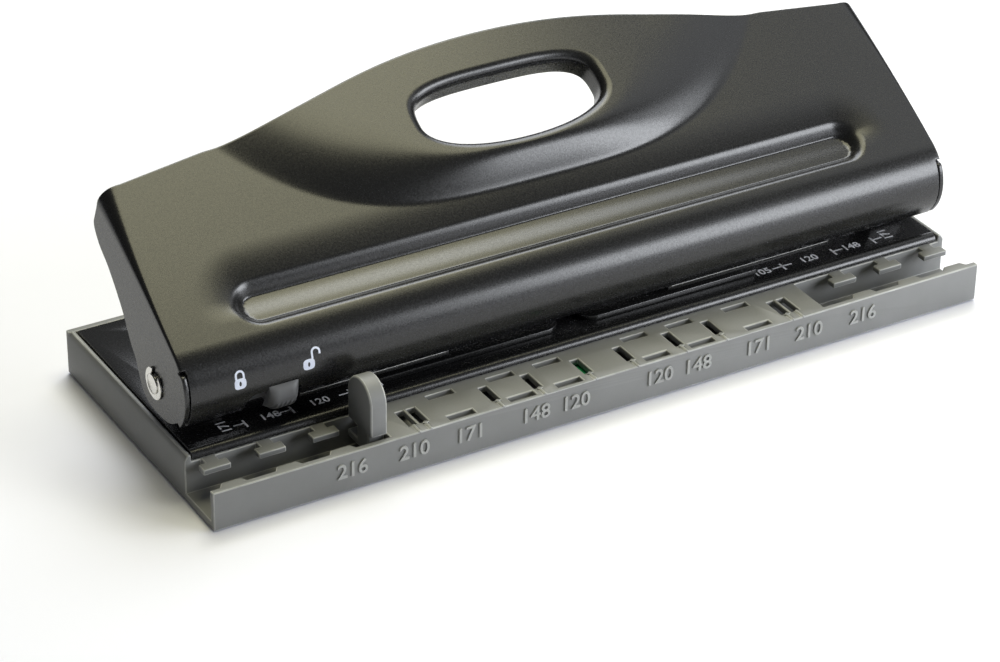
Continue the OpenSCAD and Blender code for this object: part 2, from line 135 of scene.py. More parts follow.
# Back edge of a cheek as (y, z), from the top corner down and round the foot
CHEEK_BACK = ((20.9, 52.7), (21.7, 49.8), (19.3, 45.8), (14.1, 41.3), (7.9, 33.8), (4.3, 27.6), (1.6, 24.0),
    (-0.2, 20.2), (-2.2, 17.0), (-6.5, SHELL_LOW.z), (-15.0, 15.4), (-20.2, 18.1))
CHEEK_RELIEF = math.radians(8)
CHEEK_STEPS = 36

GROOVE_S = 10.9
GROOVE_HALF = 81.6
GROOVE_FLOOR = 3.5
GROOVE_WALL_LOW = 2.5
GROOVE_WALL_HIGH = 3.7
GROOVE_DEPTH = 2.6
GROOVE_CRISP = 1.7
GROOVE_TILT = 0.05
# The panel leans gently down towards the groove's upper side
SHOULDER_WIDTH = 9.0
SHOULDER_DROP = 0.75
SHOULDER_BLEND = 6

GRIP_RISE = 4.2
GRIP_LOW_OUTER = 23.0
GRIP_LOW_INNER = 31.5
GRIP_HALF_OUTER = 75.0
GRIP_HALF_INNER = 43.0
GRIP_CLIMB = 28.0
GRIP_POWER = 3.6
GRIP_SHOULDER = 1.9
# The raised top is slightly crowned along the handle, and lies a little flatter than the panel
GRIP_CROWN = 0.7
GRIP_TILT = 0.05
GRIP_MIDDLE_S = 46.0
# Eases the slope in at the grip's foot, so that the crease has a small radius
GRIP_FOOT_EASE = 0.1

HOLE_S = 42.7
HOLE_A = 24.9
HOLE_B = 9.4
HOLE_POWER_LOW = 2.15
HOLE_POWER_HIGH = 3.5
HOLE_LIP = 2.5
HOLE_WALL = 4.3
# The part of the grid that the hole's rings take the place of
HOLE_BAND_S = (28.6, 57.0)
HOLE_BAND_HALF = 31

# Stretches along X where a painted highlight line lies on the paper gap's lip edge, for the light that edge
# catches
LIP_HIGHLIGHT = ((-74.8, -36.0), (28.0, 74.8))
LIP_HIGHLIGHT_Z = (1.0, 1.23)
LIP_HIGHLIGHT_Y = (-0.03, 0.12)

# The notch in the nose's lip that the lock's knob stands in
NOTCH_X = (-90.6, -76.2)
NOTCH_TOP = 22.6
NOTCH_ROUND = 2.8

# The knob's barrel, which stands out of the notch, and how far it ends inside the slider's ends
KNOB_Y = -21.9
KNOB_Z = 21.1
KNOB_R = 4.3
KNOB_INSET = 5.0
KNOB_END_ROUND = 2.2
RIB_HEIGHT = 0.36
RIB_START = -0.06
RIBS_PER_MM = 0.86
RIB_SLANT = 3.0

# The two printed padlocks on the nose
PADLOCK_ANGLE = math.pi - 0.16
CLOSED_X = -92.5
OPEN_X = -74.9

# Page lengths in mm and how far their figures stand from the middle, on the tray's front wall
WALL_PAGES = (("216", 72.0), ("210", 55.7), ("171", 40.7), ("148", 22.9), ("120", 11.8))
WALL_FIGURE = 3.9
WALL_FIGURE_Z = 6.0
WALL_FIGURE_DEPTH = 0.8
# The same on the base plate, with how far each is turned
PLATE_PAGES = (("105", 55.4, 0.0), ("120", 69.6, 0.0), ("148", 82.6, 0.0), ("171", 94.0, math.pi / 2))
PLATE_FIGURE = 2.5
PRINT_DEPTH = 0.03
# How much the strokes of all figures are thickened
FIGURE_BOLD = 0.07
# The plate's ticks with their dashes, in a row this far behind the plate's front
TICK_X = (61.5, 77.0, 89.2)
TICK_ROW = 5.4
TICK_HALF_WIDTH = 0.27
TICK_HALF = 1.6
TICK_DASH = 2.9
# The tray's small pointers in front of its windows
POINTER_X = (6.0, 20.0, 31.5, 51.0)
POINTER_Y = 2.9
# Capital height of the font as a share of its size
CAPITAL = 0.72


# ---- Materials ----

# The face value that is 1 on rounded outer edges, where paint and plastic look lighter: partly scuffing,
# partly a painted edge highlight
EDGE_MARK = "edge_scuff_and_highlight"
SCUFF_SCALE = 260.0
SCUFF_LEAST = 0.45

# Edges that bend more than these degrees stay sharp in shading, and get a bevel
SHARP_ANGLE = 38
BEVEL_ANGLE = 35
# Faces of a CAD node that lie within this angle, in radians, are joined, and points this close in mm too
FLAT_ANGLE = 0.01
SAME_POINT = 0.002


def link_nodes(tree, source, target):
    tree.links.new(source, target)


def noise_node(tree, coords, scale, detail=4.0):
    node = tree.nodes.new("ShaderNodeTexNoise")
    node.inputs["Scale"].default_value = scale
    node.inputs["Detail"].default_value = detail
    node.inputs["Roughness"].default_value = 0.55
    link_nodes(tree, coords, node.inputs["Vector"])
    return node.outputs["Fac"]


def remap(tree, value, low, high):
    """Spreads the middle of a noise over the range from low to high."""
    node = tree.nodes.new("ShaderNodeMapRange")
    node.inputs["From Min"].default_value = 0.3
    node.inputs["From Max"].default_value = 0.7
    node.inputs["To Min"].default_value = low
    node.inputs["To Max"].default_value = high
    link_nodes(tree, value, node.inputs["Value"])
    return node.outputs["Result"]


def mix_colour(tree, factor, first, second):
    node = tree.nodes.new("ShaderNodeMix")
    node.data_type = "RGBA"
    link_nodes(tree, factor, node.inputs["Factor"])
    for socket, value in ((node.inputs[6], first), (node.inputs[7], second)):
        if isinstance(value, tuple):
            socket.default_value = (*value, 1)
        else:
            link_nodes(tree, value, socket)
    return node.outputs[2]


def stretched(tree, coords, scale):
    """Coordinates that draw a noise out along one axis, for brushed metal."""
    node = tree.nodes.new("ShaderNodeMapping")
    node.inputs["Scale"].default_value = scale
    link_nodes(tree, coords, node.inputs["Vector"])
    return node.outputs["Vector"]


def surface(name, colour, other, rough, metallic=0.0, grain=900.0, bump=0.1, mottle=40.0,
            scuffed_lit_edge=None, brushed=None, specular=0.5, height=0.02):
    """A procedural surface: two mottled colours, a roughness range, a fine bump and lighter edges, partly
    scuffed and partly a painted edge highlight.
    """
    mat = bpy.data.materials.new(name)
    mat.use_nodes = True
    tree = mat.node_tree
    shader = tree.nodes["Principled BSDF"]
    coords = tree.nodes.new("ShaderNodeTexCoord").outputs["Object"]
    fine_coords = stretched(tree, coords, brushed) if brushed else coords
    blotch = noise_node(tree, coords, mottle)
    fine = noise_node(tree, fine_coords, grain, 3.0)
    tint = mix_colour(tree, remap(tree, blotch, 0, 1), colour, other)
    # The edge colour is partly scuffing and partly a painted highlight, the light that rounded edges catch
    if scuffed_lit_edge:
        edge = tree.nodes.new("ShaderNodeAttribute")
        edge.attribute_name = EDGE_MARK
        scuffed_lit_mask = tree.nodes.new("ShaderNodeMath")
        scuffed_lit_mask.operation = "MULTIPLY"
        link_nodes(tree, edge.outputs["Fac"], scuffed_lit_mask.inputs[0])
        patches = remap(tree, noise_node(tree, coords, SCUFF_SCALE), SCUFF_LEAST, 1.0)
        link_nodes(tree, patches, scuffed_lit_mask.inputs[1])
        tint = mix_colour(tree, scuffed_lit_mask.outputs[0], tint, scuffed_lit_edge)
    link_nodes(tree, tint, shader.inputs["Base Color"])
    link_nodes(tree, remap(tree, fine, rough[0], rough[1]), shader.inputs["Roughness"])
    shader.inputs["Metallic"].default_value = metallic
    shader.inputs["Specular IOR Level"].default_value = specular
    relief = tree.nodes.new("ShaderNodeBump")
    relief.inputs["Strength"].default_value = bump
    relief.inputs["Distance"].default_value = height * MM
    link_nodes(tree, fine, relief.inputs["Height"])
    link_nodes(tree, relief.outputs["Normal"], shader.inputs["Normal"])
    return mat


FINISH = {
    # Each edge colour is lighter than its finish: scuffed edges and a painted edge highlight together
    "black_enamel": surface("enamel", (0.0065, 0.0065, 0.007), (0.009, 0.009, 0.0088), (0.23, 0.31),
        grain=1900, bump=0.3, mottle=30, scuffed_lit_edge=(0.03, 0.03, 0.031), specular=0.55, height=0.012),
    "grey_plastic": surface("grey_plastic", (0.175, 0.178, 0.174), (0.2, 0.203, 0.2), (0.46, 0.58),
        grain=2600, bump=0.35, mottle=60, scuffed_lit_edge=(0.42, 0.425, 0.405), height=0.02),
    "dark_plastic": surface("dark_plastic", (0.075, 0.076, 0.078), (0.095, 0.096, 0.098), (0.42, 0.55),
        grain=2400, bump=0.3, mottle=90, scuffed_lit_edge=(0.16, 0.16, 0.162), height=0.02),
    "green_plastic": surface("green_plastic", (0.01, 0.33, 0.1), (0.02, 0.42, 0.14), (0.3, 0.4),
        grain=2000, bump=0.15, mottle=80, scuffed_lit_edge=(0.1, 0.55, 0.25), height=0.01),
    "bare_steel": surface("zinc_steel", (0.42, 0.43, 0.44), (0.55, 0.55, 0.56), (0.28, 0.42),
        metallic=1.0, grain=500, bump=0.3, mottle=150, brushed=(0.15, 1.0, 1.0), height=0.01),
    "bright_steel": surface("bright_steel", (0.66, 0.65, 0.62), (0.76, 0.75, 0.72), (0.16, 0.3),
        metallic=1.0, grain=900, bump=0.25, mottle=200, brushed=(0.3, 1.0, 1.0), height=0.008),
    "rubber": surface("rubber", (0.018, 0.018, 0.018), (0.026, 0.026, 0.026), (0.7, 0.85),
        grain=1800, bump=0.5, mottle=100, height=0.03),
}
PRINT = surface("white_print", (0.78, 0.78, 0.8), (0.88, 0.88, 0.9), (0.45, 0.6),
    grain=3000, bump=0.2, mottle=700, height=0.01)
LOCK_PRINT = surface("pale_blue_print", (0.62, 0.66, 0.78), (0.72, 0.76, 0.86), (0.45, 0.6),
    grain=3000, bump=0.2, mottle=700, height=0.01)
# A pale grey that stands in for the light on the lip's edge: a painted highlight
PAINTED_LIP_HIGHLIGHT = surface("painted_edge_highlight", (0.5, 0.5, 0.49), (0.6, 0.6, 0.58), (0.3, 0.4),
    grain=3000, bump=0.2, mottle=300, height=0.01)
# The figures are the tray's plastic made lighter: a painted highlight for the light their raised strokes
# catch
FIGURE_HIGHLIGHT = surface("figures_painted_highlight", (0.3, 0.305, 0.295), (0.35, 0.355, 0.34), (0.46, 0.58),
    grain=2600, bump=0.3, mottle=200, height=0.02)


# ---- Mesh helpers ----

def new_object(name, mesh):
    obj = bpy.data.objects.new(name, mesh)
    bpy.context.scene.collection.objects.link(obj)
    return obj


def dress(obj, body, finish, material=None):
    """Gives a piece its material and its body."""
    obj.data.materials.clear()
    obj.data.materials.append(material or FINISH[finish])
    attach(obj, body)
    return obj


def mark_edges(mesh):
    """Gives the rounded outer edges, which carry the bevel's material number, the value that makes them
    lighter: scuffing and a painted edge highlight.
    """
    shape = bmesh.new()
    shape.from_mesh(mesh)
    scuff_and_highlight = shape.faces.layers.float.new(EDGE_MARK)
    for face in shape.faces:
        if face.material_index == 1:
            middle = face.calc_center_median()
            others = [other for edge in face.edges for other in edge.link_faces if other is not face]
            lean = sum((other.calc_center_median() - middle).dot(face.normal) for other in others)
            face[scuff_and_highlight] = 1.0 if lean < 0 else 0.0
            face.material_index = 0
    shape.to_mesh(mesh)
    shape.free()


def settle(obj, sharp=SHARP_ANGLE):
    """Applies the modifiers, so that the piece is its final mesh, and keeps only real corners sharp."""
    graph = bpy.context.evaluated_depsgraph_get()
    mesh = bpy.data.meshes.new_from_object(obj.evaluated_get(graph))
    obj.modifiers.clear()
    obj.data = mesh
    mesh.name = obj.name
    mark_edges(mesh)
    mesh.shade_smooth()
    mesh.set_sharp_from_angle(angle=math.radians(sharp))
    return obj


def soften(obj, width, segments=2):
    """Rounds a mesh's sharp edges, width in millimetres, and numbers the new faces for mark_edges."""
    while len(obj.data.materials) < 2:
        obj.data.materials.append(None)
    bevel = obj.modifiers.new("bevel", "BEVEL")
    bevel.material = 1
    bevel.width = width * MM
    bevel.segments = segments
    bevel.limit_method = "ANGLE"
    bevel.angle_limit = math.radians(BEVEL_ANGLE)
    bevel.use_clamp_overlap = False
    weighted = obj.modifiers.new("weighted", "WEIGHTED_NORMAL")
    weighted.keep_sharp = True


def mesh_piece(name, points, faces, body, finish, material=None, bevel=0.0, thickness=0.0,
               sharp=SHARP_ANGLE, cutter=None):
    """A piece from points in millimetres; a cutter's shape is taken out of it."""
    mesh = bpy.data.meshes.new(name)
    mesh.from_pydata([Vector(p) * MM for p in points], [], faces)
    mesh.validate()
    mesh.update()
    mesh.shade_smooth()
    obj = new_object(name, mesh)
    if thickness:
        solid = obj.modifiers.new("sheet", "SOLIDIFY")
        solid.thickness = thickness * MM
        solid.offset = -1
    if cutter:
        cut = obj.modifiers.new("cut", "BOOLEAN")
        cut.object = cutter
        cut.operation = "DIFFERENCE"
        cut.solver = "EXACT"
    if bevel:
        soften(obj, bevel)
    settle(obj, sharp)
    if cutter:
        bpy.data.objects.remove(cutter)
    return dress(obj, body, finish, material)


def refined(node, width=0.25, segments=2):
    """A piece that stands for a CAD node: the node's shape, with flat faces joined and edges rounded."""
    source = frame["nodes"][node]
    mesh = source.data.copy()
    mesh.name = node + "_finish"
    obj = new_object(node + "_finish", mesh)
    shape = bmesh.new()
    shape.from_mesh(mesh)
    bmesh.ops.remove_doubles(shape, verts=shape.verts, dist=SAME_POINT * MM)
    bmesh.ops.dissolve_limit(shape, angle_limit=FLAT_ANGLE, verts=shape.verts, edges=shape.edges)
    bmesh.ops.recalc_face_normals(shape, faces=shape.faces)
    shape.to_mesh(mesh)
    shape.free()
    if "custom_normal" in mesh.attributes:
        mesh.attributes.remove(mesh.attributes["custom_normal"])
    for face in mesh.polygons:
        face.material_index = 0
    soften(obj, width, segments)
    settle(obj)
    slots = {row["node"]: row.get("material_slot") for row in frame["record"]["subparts"]}
    dress(obj, source["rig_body"], slots[node])
    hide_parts(node)
    return obj


def grid_faces(rows, columns, closed=False):
    """Quads between the rows of a grid of points."""
    faces = []
    last = columns if closed else columns - 1
    for j in range(rows - 1):
        for i in range(last):
            a = j * columns + i
            b = j * columns + (i + 1) % columns
            faces.append((a, b, b + columns, a + columns))
    return faces


# ---- The handle's pressing ----

def smooth(t):
    """Eases from 0 to 1."""
    t = min(1.0, max(0.0, t))
    return t * t * (3 - 2 * t)


def panel_top(x):
    """Top edge of the panel, measured up the slope."""
    x = abs(x)
    if x > END_HALF:
        return END_TOP + END_TILT * (END_X - x)
    wave = math.pi * x / WAVE_HALF
    return WAVE_FOOT + WAVE_RISE * (0.5 + 0.5 * math.cos(wave)) + WAVE_FULLNESS * math.sin(wave) ** 2


def grip_share(x, s):
    """0 below the raised grip's foot, 1 on its flat top."""
    low, high = 0.0, 1.0

    def foot(t):
        half = GRIP_HALF_OUTER + (GRIP_HALF_INNER - GRIP_HALF_OUTER) * t
        climb = GRIP_CLIMB * min(6.0, (abs(x) / half) ** GRIP_POWER)
        return GRIP_LOW_OUTER + (GRIP_LOW_INNER - GRIP_LOW_OUTER) * t + climb

    if s <= foot(0.0):
        return 0.0
    if s >= foot(1.0):
        return 1.0
    for _ in range(14):
        middle = (low + high) / 2
        if s > foot(middle):
            low = middle
        else:
            high = middle
    return (low + high) / 2


def grip_height(x, s):
    """Crisp at the foot of the raised grip and soft at its shoulder."""
    share = grip_share(x, s)
    share = share ** 2 / (share + GRIP_FOOT_EASE) * (1 + GRIP_FOOT_EASE)
    crown = GRIP_CROWN * (x / GRIP_HALF_INNER) ** 2 + GRIP_TILT * (s - GRIP_MIDDLE_S)
    return GRIP_RISE * (1 - (1 - share) ** GRIP_SHOULDER) - crown * smooth(share) ** 2


def groove_height(x, s):
    """The groove's flat floor and curved walls, and the panel's lean above it."""
    ds = s - GROOVE_S
    dx = max(0.0, abs(x) - GROOVE_HALF)
    reach = math.hypot(dx, ds)
    wall = GROOVE_WALL_HIGH if ds > 0 else GROOVE_WALL_LOW
    if reach > 0:
        side = ds / reach
        wall = (GROOVE_WALL_HIGH + GROOVE_WALL_LOW) / 2 + side * (GROOVE_WALL_HIGH - GROOVE_WALL_LOW) / 2
    climb = min(1.0, max(0.0, (reach - GROOVE_FLOOR) / wall))
    beyond = min(1.0, max(0.0, (reach - GROOVE_FLOOR - wall) / SHOULDER_WIDTH))
    shoulder = SHOULDER_DROP * (1 - beyond) ** 2 * smooth(0.5 + ds / SHOULDER_BLEND)
    tilt = GROOVE_TILT * ds * (1 - climb) ** 2
    return -GROOVE_DEPTH * (1 - climb) ** GROOVE_CRISP - shoulder - tilt


def panel_height(x, s):
    """Height of the pressed shape above the panel's plane."""
    return grip_height(x, s) + groove_height(x, s)


def on_panel(x, s, n):
    """The point at x, s up the slope and n out of the panel's plane."""
    y = PANEL_Y + s * math.cos(SLOPE) - n * math.sin(SLOPE)
    z = PANEL_Z + s * math.sin(SLOPE) + n * math.cos(SLOPE)
    return Vector((x, y, z))


def on_nose(x, angle, r=NOSE_R):
    """The point at x and at an angle round the nose's axis."""
    return Vector((x, NOSE_Y + r * math.cos(angle), NOSE_Z + r * math.sin(angle)))


def on_profile(x, u, n):
    """The point n out of the sheet at u: on the nose's arc below PANEL_START, on the panel above it."""
    if u < PANEL_START:
        return on_nose(x, NOSE_END + (PANEL_START - u) / NOSE_R, NOSE_R + n)
    return on_panel(x, u, n)


def handle_columns():
    """X of the columns between the two bends."""
    edge = HALF - BEND_WIDE - BEND_INSET
    return [-edge + 2 * edge * i / COLUMNS for i in range(COLUMNS + 1)]


def bend_radius(s):
    """Radius of the bend into the cheek, at s up the slope."""
    share = (s - PANEL_START) / (BEND_TOP_S - PANEL_START)
    return BEND_TIGHT + (BEND_WIDE - BEND_TIGHT) * min(1.0, max(0.0, share)) ** 2


def bend_steps(s, inner):
    """The bend's columns at s, as (x, drop below the panel), from the last inner column outwards."""
    r = bend_radius(s)
    flat_end = HALF - r
    gap_edge = HALF - SHEET - NOSE_GAP
    tight_end = HALF - BEND_TIGHT
    steps = []
    for x in ((inner + gap_edge) / 2, gap_edge, tight_end):
        steps.append((inner + (flat_end - inner) * (x - inner) / (tight_end - inner), 0.0))
    for k in range(1, BEND_STEPS + 1):
        a = math.pi / 2 * k / BEND_STEPS
        steps.append((flat_end + r * math.sin(a), r * (1 - math.cos(a))))
    steps.append((HALF, r + BEND_SKIRT))
    return steps


def hole_scale(dx, ds, a, b):
    """How many times larger than the hole's outline the one through (dx, ds) is."""
    power = HOLE_POWER_HIGH if ds > 0 else HOLE_POWER_LOW
    return (abs(dx / a) ** power + abs(ds / b) ** power) ** (1 / power)


def hole_point(x, s, grow):
    """The point of the hole's outline, grown outwards, that lies towards (x, s) from the hole's middle."""
    dx, ds = x, s - HOLE_S
    k = hole_scale(dx, ds, HOLE_A + grow, HOLE_B + grow)
    return dx / k, HOLE_S + ds / k


class Sheet:
    """Collects the points and quads of the handle's sheet."""

    def __init__(self):
        self.points = []
        self.faces = []

    def add(self, point):
        self.points.append(point)
        return len(self.points) - 1


def panel_rows():
    """Rows of the panel, each a function that gives s where the panel's top edge is at top."""
    rows = []
    for k in range(1, FINE_ROWS + 1):
        s = PANEL_START + (FINE_END - PANEL_START) * k / FINE_ROWS
        rows.append(lambda top, s=s: s)
    for k in range(1, UPPER_ROWS + 1):
        share = k / UPPER_ROWS
        rows.append(lambda top, share=share: FINE_END + (top - FINE_END) * share)
    return rows


def notch_cutter():
    """A closed block with a round-cornered top that cuts the lock's notch out of the nose's lip."""
    x0, x1 = NOTCH_X
    r = NOTCH_ROUND
    spare = 5
    steps = 8
    outline = [(x1, SHELL_LOW.z - spare), (x0, SHELL_LOW.z - spare)]
    for cx, first in ((x0 + r, math.pi), (x1 - r, math.pi / 2)):
        for k in range(steps + 1):
            a = first - math.pi / 2 * k / steps
            outline.append((cx + r * math.cos(a), NOTCH_TOP - r + r * math.sin(a)))
    count = len(outline)
    depths = (NOSE_Y - NOSE_R - spare, NOSE_Y - spare)
    points = [Vector((x, y, z)) for y in depths for x, z in outline]
    faces = [tuple(range(count)), tuple(range(2 * count - 1, count - 1, -1))]
    for k in range(count):
        n = (k + 1) % count
        faces.append((k, count + k, count + n, n))
    mesh = bpy.data.meshes.new("notch_cutter")
    mesh.from_pydata([p * MM for p in points], [], faces)
    shape = bmesh.new()
    shape.from_mesh(mesh)
    bmesh.ops.recalc_face_normals(shape, faces=shape.faces)
    shape.to_mesh(mesh)
    shape.free()
    return new_object("notch_cutter", mesh)


def hold_in_outline(mesh):
    """Pulls bevel corners that stand proud of the cheeks or of the nose back to them."""
    for vertex in mesh.vertices:
        x, y, z = vertex.co / MM
        x = max(-HALF, min(HALF, x))
        angle = math.atan2(z - NOSE_Z, y - NOSE_Y) % (2 * math.pi)
        reach = math.hypot(z - NOSE_Z, y - NOSE_Y)
        if NOSE_END < angle < NOSE_LIP and reach > NOSE_R:
            y = NOSE_Y + (y - NOSE_Y) * NOSE_R / reach
            z = NOSE_Z + (z - NOSE_Z) * NOSE_R / reach
        vertex.co = Vector((x, y, z)) * MM


def build_handle():
    """One sheet from the nose's lip to the top edge, with the grip hole, the two bends and the cheeks."""
    sheet = Sheet()
    columns = handle_columns()
    rows = panel_rows()
    grid = []
    places = {}
    for k in range(NOSE_ROWS + 1):
        angle = NOSE_LIP + (NOSE_END - NOSE_LIP) * k / NOSE_ROWS
        grid.append([sheet.add(on_nose(x, angle)) for x in columns])
    for row in rows:
        line = []
        for x in columns:
            s = row(panel_top(x))
            index = sheet.add(on_panel(x, s, panel_height(x, s)))
            places[index] = (x, s)
            line.append(index)
        grid.append(line)
    middle = len(columns) // 2
    low, high = HOLE_BAND_S
    hole_rows = [j for j in range(NOSE_ROWS + 1, len(grid)) if low < places[grid[j][middle]][1] < high]
    hole_columns = [i for i, x in enumerate(columns) if abs(x) < HOLE_BAND_HALF]
    j0, j1 = hole_rows[0], hole_rows[-1]
    i0, i1 = hole_columns[0], hole_columns[-1]
    for j in range(len(grid) - 1):
        for i in range(len(columns) - 1):
            if not (j0 <= j < j1 and i0 <= i < i1):
                sheet.faces.append((grid[j][i], grid[j][i + 1], grid[j + 1][i + 1], grid[j + 1][i]))
    add_hole(sheet, grid, places, i0, i1, j0, j1)
    for side, at in ((-1, 0), (1, len(columns) - 1)):
        add_cheek(sheet, side, add_bend(sheet, grid, rows, columns[at], side, at))
    obj = mesh_piece("handle_pressing", sheet.points, sheet.faces, "handle", "black_enamel",
        thickness=SHEET, bevel=0.25, cutter=notch_cutter())
    hold_in_outline(obj.data)
    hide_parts("handle_shell")
    return obj


def add_hole(sheet, grid, places, i0, i1, j0, j1):
    """Rings from the rectangle left in the grid down to the hole's rolled lip and wall."""
    border = [grid[j0][i] for i in range(i0, i1)]
    border += [grid[j][i1] for j in range(j0, j1)]
    border += [grid[j1][i] for i in range(i1, i0, -1)]
    border += [grid[j][i0] for j in range(j1, j0, -1)]
    rings = [border]
    apron, lip, wall = 14, 8, 3
    ease = 0.85
    for k in range(1, apron + 1):
        ring = []
        for index in border:
            x, s = places[index]
            hx, hs = hole_point(x, s, HOLE_LIP)
            t = (k / apron) ** ease
            px, ps = x + (hx - x) * t, s + (hs - s) * t
            ring.append(sheet.add(on_panel(px, ps, panel_height(px, ps))))
        rings.append(ring)
    for k in range(1, lip + wall + 1):
        a = math.pi / 2 * min(1.0, k / lip)
        drop = HOLE_LIP * (1 - math.cos(a)) + HOLE_WALL * max(0, k - lip) / wall
        ring = []
        for index in border:
            x, s = places[index]
            rim_x, rim_s = hole_point(x, s, HOLE_LIP)
            px, ps = hole_point(x, s, HOLE_LIP * (1 - math.sin(a)))
            ring.append(sheet.add(on_panel(px, ps, panel_height(rim_x, rim_s) - drop)))
        rings.append(ring)
    count = len(border)
    for outer, inner in zip(rings, rings[1:]):
        for i in range(count):
            k = (i + 1) % count
            sheet.faces.append((outer[i], outer[k], inner[k], inner[i]))


def add_strip(sheet, first, second, side):
    """Quads between two columns of points, the second one further out."""
    for k in range(len(first) - 1):
        quad = (first[k], second[k], second[k + 1], first[k + 1])
        sheet.faces.append(quad if side > 0 else quad[::-1])


def add_bend(sheet, grid, rows, inner, side, at):
    """Carries one end of the sheet out: the nose's free rows stop short, the rest bends into the cheek."""
    reach = abs(inner)
    arc = (NOSE_LIP - NOSE_END) * NOSE_R
    nose_levels = [PANEL_START - arc * (1 - k / NOSE_ROWS) for k in range(NOSE_ROWS + 1)]
    previous = [line[at] for line in grid]
    count = len(bend_steps(PANEL_START, reach))
    for c in range(count):
        top = panel_top(inner) - CORNER_DROP * (c / (count - 1)) ** 2
        levels = nose_levels + [row(top) for row in rows]
        line = []
        for u in levels[FREE_ROWS if c > 1 else 0:]:
            x, drop = bend_steps(u, reach)[c]
            line.append(sheet.add(on_profile(side * x, u, -drop)))
        add_strip(sheet, previous[-len(line):], line, side)
        previous = line
    return previous


def spline(points, steps=5):
    """A smooth line through the points."""
    out = []
    for i in range(len(points) - 1):
        p = [points[max(0, i - 1)], points[i], points[i + 1], points[min(len(points) - 1, i + 2)]]
        for k in range(steps):
            t = k / steps
            out.append(tuple(0.5 * (2 * p[1][c] + (p[2][c] - p[0][c]) * t
                + (2 * p[0][c] - 5 * p[1][c] + 4 * p[2][c] - p[3][c]) * t * t
                + (3 * p[1][c] - p[0][c] - 3 * p[2][c] + p[3][c]) * t ** 3) for c in (0, 1)))
    out.append(points[-1])
    return out


def add_cheek(sheet, side, edge):
    """A flat cheek below a bend: its back edge sweeps down to the foot, its front follows the nose."""
    x = side * HALF
    outline = [Vector((x, y, z)) for y, z in spline(CHEEK_BACK)]
    foot_y, foot_z = CHEEK_BACK[-1]
    front_r = NOSE_R - 0.1
    edge_r = NOSE_R - BEND_TIGHT - BEND_SKIRT
    arc_start = math.atan2(foot_z - NOSE_Z, foot_y - NOSE_Y) % (2 * math.pi)
    arc_end = NOSE_LIP + (NOSE_END - NOSE_LIP) * FREE_ROWS / NOSE_ROWS
    for k in range(1, CHEEK_STEPS):
        angle = arc_start + (arc_end - arc_start) * k / CHEEK_STEPS
        cut = smooth(1 - (angle - arc_end) / CHEEK_RELIEF)
        outline.append(on_nose(x, angle, front_r - (front_r - edge_r) * cut))
    indices = edge + [sheet.add(p) for p in outline]
    sheet.faces.append(tuple(indices) if side < 0 else tuple(indices[::-1]))


# ---- The lock ----

def build_lock():
    """The slider, and its knob as a ribbed barrel that stands out of the nose's notch."""
    refined("lock_slider", 0.2)
    low, high = LOCK_LOW.x + KNOB_INSET, LOCK_HIGH.x - KNOB_INSET
    centre = Vector((KNOB_Y - NOSE_Y, KNOB_Z - NOSE_Z))
    reach = centre.length
    middle = math.atan2(centre.y, centre.x) % (2 * math.pi)
    base_r = NOSE_R + 0.25
    half = math.acos((reach ** 2 + base_r ** 2 - KNOB_R ** 2) / (2 * reach * base_r))
    along, around = 120, 40
    points = []
    for i in range(along + 1):
        t = i / along
        x = low + (high - low) * t
        end = min(t, 1 - t) * (high - low)
        rounding = math.sqrt(max(0.0, 1 - (1 - min(1.0, end / KNOB_END_ROUND)) ** 2))
        for k in range(around + 1):
            a = middle - half + 2 * half * k / around
            off = a - middle
            rim = reach * math.cos(off) + math.sqrt(max(0.0, KNOB_R ** 2 - (reach * math.sin(off)) ** 2))
            rise = max(0.0, rim - base_r) * rounding
            points.append(on_nose(x, a, base_r - 0.1 + rise + knob_rib(x, off, rise, end)))
    columns = around + 1
    faces = grid_faces(along + 1, columns)
    faces.append(tuple(range(columns))[::-1])
    faces.append(tuple(along * columns + k for k in range(columns)))
    first_side = [i * columns for i in range(along + 1)]
    second_side = [i * columns + around for i in range(along, -1, -1)]
    faces.append(tuple(first_side + second_side))
    mesh_piece("lock_knob", points, faces, "lock", "dark_plastic", sharp=60)


def knob_rib(x, off, rise, end):
    """Height of the slanted ribs, which fade out towards the knob's top and ends."""
    wave = math.sin(2 * math.pi * (x * RIBS_PER_MM + off * RIB_SLANT))
    rib = RIB_HEIGHT * smooth(0.5 + 0.9 * wave) * smooth(rise / 1.0) * smooth(end / 1.4)
    return rib * smooth((off - RIB_START) / 0.08)


# ---- Marks ----

def figure_curve(name, words, height):
    """Figures as a font curve; height is a figure's height in millimetres."""
    curve = bpy.data.curves.new(name, "FONT")
    curve.body = words
    curve.size = height * MM / CAPITAL
    curve.align_x = "CENTER"
    curve.align_y = "CENTER"
    curve.resolution_u = 3
    return curve


def place_text(name, words, height, thickness, matrix, body, finish, material=None):
    """Raised or printed figures; matrix puts the plane they lie in into place."""
    curve = figure_curve(name, words, height)
    curve.extrude = thickness * MM / 2
    curve.offset = FIGURE_BOLD * MM
    holder = new_object(name + "_curve", curve)
    graph = bpy.context.evaluated_depsgraph_get()
    mesh = bpy.data.meshes.new_from_object(holder.evaluated_get(graph))
    bpy.data.objects.remove(holder)
    mesh.transform(matrix)
    mesh.name = name
    return dress(new_object(name, mesh), body, finish, material)


def facing_front(x, y, z):
    """Figures that stand upright and face -Y."""
    return Matrix.Translation(Vector((x, y, z)) * MM) @ Matrix.Rotation(math.pi / 2, 4, "X")


def facing_up(x, y, z, turn=0.0):
    """Figures that lie flat, turned about the vertical."""
    return Matrix.Translation(Vector((x, y, z)) * MM) @ Matrix.Rotation(turn, 4, "Z")


def box_points(low, high):
    """The eight corners of a box."""
    return [Vector((x, y, z)) for z in (low[2], high[2])
        for x, y in ((low[0], low[1]), (high[0], low[1]), (high[0], high[1]), (low[0], high[1]))]


